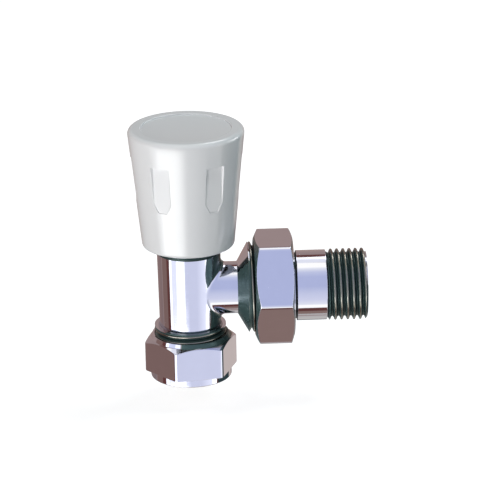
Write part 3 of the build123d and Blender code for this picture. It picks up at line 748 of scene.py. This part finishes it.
def make_body(material):
    """The CAD body with its ring grooves pressed in, helical threads on the inlet and the union, and a
    thin ring round the barrel at the wheel's foot that carries a painted shadow line. Pressing scales a
    groove's points towards its axis."""
    points, triangles, normals = merged_solid("valve_body")
    radius = np.hypot(points[:, 0], points[:, 1])
    inlet = (points[:, 2] > inlet_grooves_start) & (points[:, 2] < inlet_grooves_end)
    inlet &= (radius > inlet_grooves_inner) & (radius < inlet_grooves_outer)
    points[inlet, :2] *= (inlet_pressed_radius / radius[inlet])[:, None]
    reach = np.hypot(points[:, 1], points[:, 2] - branch_height)
    union = (points[:, 0] > union_grooves_start) & (points[:, 0] < union_grooves_end)
    union &= reach > union_grooves_inner
    inwards = union_pressed_radius / reach[union]
    points[union, 1] *= inwards
    points[union, 2] = branch_height + (points[union, 2] - branch_height) * inwards

    inlet_section, inlet_angle, inlet_tones = thread_sleeve(
        inlet_sleeve_start, inlet_sleeve_end, half_inch_radius, inlet_sleeve_bore, inlet_crest,
        inlet_land, chamfer_at_end=False)
    union_section, union_angle, union_tones = thread_sleeve(
        union_sleeve_start, union_sleeve_end, three_quarter_inch_radius, union_sleeve_bore, union_crest,
        union_land, chamfer_at_end=True)
    # A ring just proud of the barrel, only there to carry the painted shadow line under the wheel's foot
    ring = section_corners(
        thread_columns, (shadow_ring_bore, shadow_ring_foot), (shadow_ring_radius - 0.04, shadow_ring_foot),
        (shadow_ring_radius - 0.01, shadow_ring_foot + 0.05), (shadow_ring_radius, shadow_ring_top), (shadow_ring_bore, shadow_ring_top))
    vertices, quads, offset = [points], [], len(points)
    for grid in (around_z(inlet_section, inlet_angle), around_x(union_section, union_angle),
                 around_z(ring, inlet_angle)):
        grid_vertices, grid_quads = closed_grid(grid)
        vertices.append(grid_vertices)
        quads.append(grid_quads + offset)
        offset += len(grid_vertices)
    quads = np.concatenate(quads)
    faces = triangles.tolist() + quads.tolist()
    made = mesh_object("valve_body_plated", np.concatenate(vertices), faces)
    mesh = made.data
    shade_smoothly(mesh)
    kept_normals = np.zeros((len(mesh.loops), 3))
    kept_normals[:len(normals)] = normals
    mesh.normals_split_custom_set(kept_normals.tolist())

    added_tones = np.concatenate([inlet_tones, union_tones, np.full(ring[..., 0].size, shadow_ring_tone)])
    added_tones = added_tones[quads.reshape(-1) - len(points)]
    tones = np.concatenate([body_tones(points, reach, triangles), added_tones])
    # The groove attribute carries the painted shade, reflection and shadow-line tones
    groove = mesh.attributes.new("groove", "FLOAT", "CORNER")
    groove.data.foreach_set("value", tones.astype(np.float32))
    mesh.materials.append(material)
    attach(made, "valve")
    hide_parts("valve_body")


def make_handwheel(material):
    """White moulding: rim, rounded shoulder, straight taper with six sunk shields, foot, inner wall,
    plate, hub and square hole, as one surface closed both ways. Column shares run from 0 at a shield's
    middle to 1 at its edge, wherever that edge lies at each height, and the shield's side slopes in over
    the last grip_side_share of them. At each height a shield's floor is flat: its radius is the wall's less
    the depth, over the cosine of the angle from the shield's middle."""
    shares = np.array([0, 0.2, 0.4, 0.6, 0.78, 0.885, 0.91, 0.925, 0.955, 0.985,
                       1.0, 1.015, 1.06, 1.18])
    between_shields = np.linspace(0, 1, 9)[1:-1]
    half_sector = pi / grip_count
    slope = (wheel_shoulder_radius - wheel_foot_radius) / (wheel_top - wheel_shoulder_drop - wheel_foot)

    def wall_radius(height):
        return wheel_foot_radius + slope * (height - wheel_foot)

    def column_angles(heights):
        taper = np.clip((heights - grip_tip) / (grip_side_end - grip_tip), 0, 1)
        half_width = grip_tip_half_width + (grip_half_width - grip_tip_half_width) * taper
        near = shares * (half_width / wall_radius(heights))[:, None]
        last = near[:, -1:]
        far = last + (half_sector - last) * between_shields
        half = np.concatenate([near, far], -1)
        end = np.full((len(heights), 1), half_sector)
        sector = np.concatenate([-half[:, :0:-1], half, end], -1)
        around = sector[:, None, :] + 2 * half_sector * np.arange(grip_count)[None, :, None]
        return around.reshape(len(heights), -1)

    # Rows of the wall from the shoulder down, close together at the ends of the shields
    heights = np.concatenate([
        np.linspace(73.0, 68.75, 5), grip_top + np.array([0.25, 0.1, 0.04, 0, -0.03, -0.07, -0.2, -0.5]),
        np.linspace(67.0, 57.6, 14), grip_side_end + np.array([0.2, 0, -0.2]),
        np.linspace(56.3, 54.8, 5), grip_tip + np.array([0.2, 0.08, 0.03, 0, -0.04, -0.1, -0.3]),
        np.linspace(53.5, 42.2, 8)])
    angle = column_angles(heights)
    columns = angle.shape[1]
    outer = wall_radius(heights)[:, None]
    edge_share = np.concatenate([shares, np.full(len(between_shields), 2.0)])
    sector_share = np.concatenate([edge_share[:0:-1], edge_share, [2.0]])
    across = np.clip((1 - np.tile(sector_share, grip_count)) / grip_side_share, 0, 1)
    upright = np.clip(np.minimum(grip_top - heights, heights - grip_tip) / grip_end_rise, 0, 1)
    depth_share = (heights - grip_tip) / (grip_top - grip_tip)
    depth = grip_depth_tip + (grip_depth_top - grip_depth_tip) * depth_share
    from_middle = (angle + half_sector) % (2 * half_sector) - half_sector
    floor = np.minimum(outer, (outer - depth[:, None]) / np.cos(from_middle))
    radius = outer + (floor - outer) * across * upright[:, None]
    wall = np.stack([radius, np.broadcast_to(heights[:, None], radius.shape)], -1)
    top_hole, foot_hole = (polygon_radius(square_half_width, 4, row, square_corner_sharpness)
                           for row in (angle[0], angle[-1]))
    corners = section_corners(
        columns, (top_hole, plate_top), (dish_radius, plate_top), (dish_radius, wheel_top),
        (wall_radius(wheel_top), wheel_top), (wheel_foot_radius, wheel_foot),
        (wheel_foot_radius - wheel_wall, wheel_foot),
        (wall_radius(plate_height) - wheel_wall, plate_height),
        (hub_radius, plate_height), (hub_radius, hub_foot), (foot_hole, hub_foot))
    rounds = (0.05, 0.15, 0.3, 1.6, 1.0, 0.3, 0.5, 0.3, 0.2, 0.1)
    shaped = rounded_section(corners, rounds, steps=11, limit=0.82)
    per_corner = len(shaped) // len(corners)
    head, foot = shaped[:4 * per_corner - 1], shaped[4 * per_corner + 1:]
    section = np.concatenate([head, wall, foot])
    turned = np.concatenate([np.broadcast_to(angle[0], (len(head), columns)), angle,
                             np.broadcast_to(angle[-1], (len(foot), columns))])
    new_piece("handwheel_moulding", around_z(section, turned), material, "wheel",
              "handwheel")


def make_ribs(material):
    """Six upright ribs under the wheel's plate: boxes with u outwards, v across and z up, turned to the
    bearings halfway between the shields, (u cos b - v sin b, u sin b + v cos b, z)."""
    bearing = (pi / grip_count * (1 + 2 * np.arange(grip_count)))[:, None]
    u = np.tile([rib_start, rib_end, rib_end, rib_start], 2)
    v = np.tile([-rib_half_width, -rib_half_width, rib_half_width, rib_half_width], 2)
    z = np.broadcast_to(np.repeat([rib_foot, rib_top], 4), (grip_count, 8))
    points = np.stack([u * np.cos(bearing) - v * np.sin(bearing),
                       u * np.sin(bearing) + v * np.cos(bearing), z], -1).reshape(-1, 3)
    box = np.array([(0, 3, 2, 1), (4, 5, 6, 7), (0, 1, 5, 4), (1, 2, 6, 5), (2, 3, 7, 6), (3, 0, 4, 7)])
    faces = (box[None] + 8 * np.arange(grip_count)[:, None, None]).reshape(-1, 4)
    ribs = mesh_object("handwheel_ribs", points, faces.tolist())
    ribs.data.materials.append(material)
    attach(ribs, "wheel")


# Materials
def make_marks():
    """Node group shared by the metals and the plastics: fine turned or buffed marks from the surface's
    place. Value runs from 0 to 1; Height is a small relief for a bump."""
    tree = bpy.data.node_groups.new("fine_marks", "ShaderNodeTree")
    tree.interface.new_socket("Stretch", in_out="INPUT", socket_type="NodeSocketVector")
    tree.interface.new_socket("Value", in_out="OUTPUT", socket_type="NodeSocketFloat")
    tree.interface.new_socket("Height", in_out="OUTPUT", socket_type="NodeSocketFloat")
    wiring = Wiring(tree)
    inlet, outlet = wiring.add("NodeGroupInput"), wiring.add("NodeGroupOutput")
    coordinates = wiring.add("ShaderNodeTexCoord")
    scaled = wiring.add("ShaderNodeVectorMath", operation="MULTIPLY")
    wiring.feed(scaled.inputs[0], coordinates.outputs["Object"])
    wiring.feed(scaled.inputs[1], inlet.outputs["Stretch"])
    for output, scale, detail in (("Value", 1.0, 3.0), ("Height", 7.0, 2.0)):
        noise = wiring.add("ShaderNodeTexNoise")
        noise.inputs["Scale"].default_value = scale
        noise.inputs["Detail"].default_value = detail
        wiring.feed(noise.inputs["Vector"], scaled.outputs[0])
        wiring.feed(outlet.inputs[output], noise.outputs["Fac"])
    return tree


def use_marks(wiring, stretch):
    """The fine_marks group in this material, with its stretch in marks per metre along x, y and z."""
    made = wiring.add("ShaderNodeGroup", node_tree=marks)
    made.inputs["Stretch"].default_value = stretch
    return made.outputs["Value"], made.outputs["Height"]


def add_bump(wiring, shader, height, strength):
    """A relief of up to a tenth of a millimetre in the shader's normal."""
    bump = wiring.add("ShaderNodeBump")
    bump.inputs["Strength"].default_value = strength
    bump.inputs["Distance"].default_value = 0.1 * mm
    wiring.feed(bump.inputs["Height"], height)
    wiring.feed(shader.inputs["Normal"], bump.outputs["Normal"])


def make_chrome(name, stretch):
    """Polished chrome plate, with light and shade painted into its colour. The attribute groove is 0 on the
    polished skin, 1 on a thread's crests and 2 in its roots, and the plate grows darker and duller with
    it: a pale painted reflection on the crests, dark painted reflections on the flanks, chamfers and cone,
    and painted shade in the roots."""
    plate = (0.604, 0.621, 0.710)
    crest = (0.21, 0.20, 0.175)
    painted_flank_reflection = (0.062, 0.104, 0.102)
    shadow = (0.012, 0.022, 0.022)
    root = (0.02, 0.04, 0.04)
    mirror, shade_zone_metallic = (1, 1, 1), (0.3, 0.3, 0.3)
    roughness, mark_roughness, groove_roughness = 0.02, 0.05, 0.34
    material, wiring = new_material(name)
    shader = wiring.add("ShaderNodeBsdfPrincipled")
    shader.inputs["Specular IOR Level"].default_value = 0.15
    value, height = use_marks(wiring, stretch)
    groove = wiring.add("ShaderNodeAttribute", attribute_name="groove")
    depth = wiring.sum("MULTIPLY", groove.outputs["Fac"], 0.5)
    # Painted light and shade: the crest colour is a pale painted reflection, the flank colour a dark
    # painted reflection, shadow and root painted shade
    tone = wiring.ramp(depth, [(0.0, plate), (0.30, plate), (0.46, crest), (0.52, crest), (0.56, painted_flank_reflection),
                               (0.78, painted_flank_reflection), (0.9, shadow), (1.0, root)])
    wiring.feed(shader.inputs["Base Color"], wiring.mix(0.06, tone, value, "MULTIPLY"))
    # The zones of painted shade and reflection are less metallic
    metal = wiring.ramp(depth, [(0.0, mirror), (0.52, mirror), (0.58, shade_zone_metallic)])
    wiring.feed(shader.inputs["Metallic"], metal)
    polished = wiring.sum("MULTIPLY_ADD", value, mark_roughness, roughness)
    wiring.feed(shader.inputs["Roughness"], wiring.sum("MULTIPLY_ADD", depth, groove_roughness, polished))
    add_bump(wiring, shader, height, 0.02)
    finish_surface(wiring, shader.outputs[0])
    return material


def make_finish(name, colour, second, metallic, roughness, spread, stretch, relief):
    """A plain finish whose colour wanders between two tones and whose roughness varies by spread."""
    material, wiring = new_material(name)
    shader = wiring.add("ShaderNodeBsdfPrincipled")
    shader.inputs["Metallic"].default_value = metallic
    value, height = use_marks(wiring, stretch)
    wiring.feed(shader.inputs["Base Color"], wiring.mix(value, (*colour, 1), (*second, 1)))
    wiring.feed(shader.inputs["Roughness"], wiring.sum("MULTIPLY_ADD", value, spread, roughness))
    add_bump(wiring, shader, height, relief)
    finish_surface(wiring, shader.outputs[0])
    return material


make_camera()
make_floor()
make_world()
make_tent()
make_lamp("key_lamp", azimuth=-30, elevation=5, power=5.4, colour=(1.0, 0.98, 0.97))
make_lamp("side_lamp", azimuth=-62, elevation=2, power=2.6, colour=(1.0, 0.98, 0.97))
make_lamp("top_lamp", azimuth=110, elevation=64, power=5.2, colour=(0.88, 0.97, 1.0))

marks = make_marks()
plated = make_chrome("chrome_plate", stretch=(260.0, 260.0, 260.0))
moulding = make_finish(
    "white_moulding", colour=(0.76, 0.76, 0.765), second=(0.74, 0.74, 0.75), metallic=0.0,
    roughness=0.14, spread=0.05, stretch=(300.0, 300.0, 300.0), relief=0.03)
brass = make_finish(
    "turned_brass", colour=(0.74, 0.55, 0.26), second=(0.66, 0.47, 0.20), metallic=1.0,
    roughness=0.16, spread=0.14, stretch=(500.0, 500.0, 2400.0), relief=0.25)
soft_brass = make_finish(
    "olive_brass", colour=(0.80, 0.61, 0.30), second=(0.74, 0.55, 0.25), metallic=1.0,
    roughness=0.10, spread=0.12, stretch=(500.0, 500.0, 2400.0), relief=0.15)
fibre = make_finish(
    "sealing_fibre", colour=(0.30, 0.10, 0.07), second=(0.38, 0.15, 0.10), metallic=0.0,
    roughness=0.75, spread=0.15, stretch=(1500.0, 1500.0, 1500.0), relief=0.7)
ptfe = make_finish(
    "white_sealing_ring", colour=(0.86, 0.86, 0.84), second=(0.80, 0.80, 0.78), metallic=0.0,
    roughness=0.40, spread=0.10, stretch=(700.0, 700.0, 700.0), relief=0.15)
rubber = make_finish(
    "washer_rubber", colour=(0.025, 0.025, 0.026), second=(0.04, 0.04, 0.04), metallic=0.0,
    roughness=0.55, spread=0.15, stretch=(1200.0, 1200.0, 1200.0), relief=0.4)
steel = make_finish(
    "zinc_steel", colour=(0.55, 0.55, 0.56), second=(0.45, 0.46, 0.48), metallic=1.0,
    roughness=0.22, spread=0.16, stretch=(600.0, 600.0, 600.0), relief=0.2)
node_finishes = {
    "cap_disc": moulding, "olive": soft_brass, "bonnet": brass, "packing_washer": brass,
    "gland_nut": brass, "jumper": brass, "washer_screw": brass, "spindle": brass, "tail_seal": fibre,
    "bonnet_seal": fibre, "gland_packing": ptfe, "seat_washer": rubber, "jumper_clip": steel,
    "lock_washer": steel, "wheel_screw": steel}
for node_name, finish in node_finishes.items():
    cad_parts[node_name].material_slots[0].material = finish

make_body(plated)
make_compression_nut(plated)
make_union_nut(plated)
make_tail(plated)
make_handwheel(moulding)
make_ribs(moulding)

bpy.context.scene.view_settings.view_transform = "Standard"
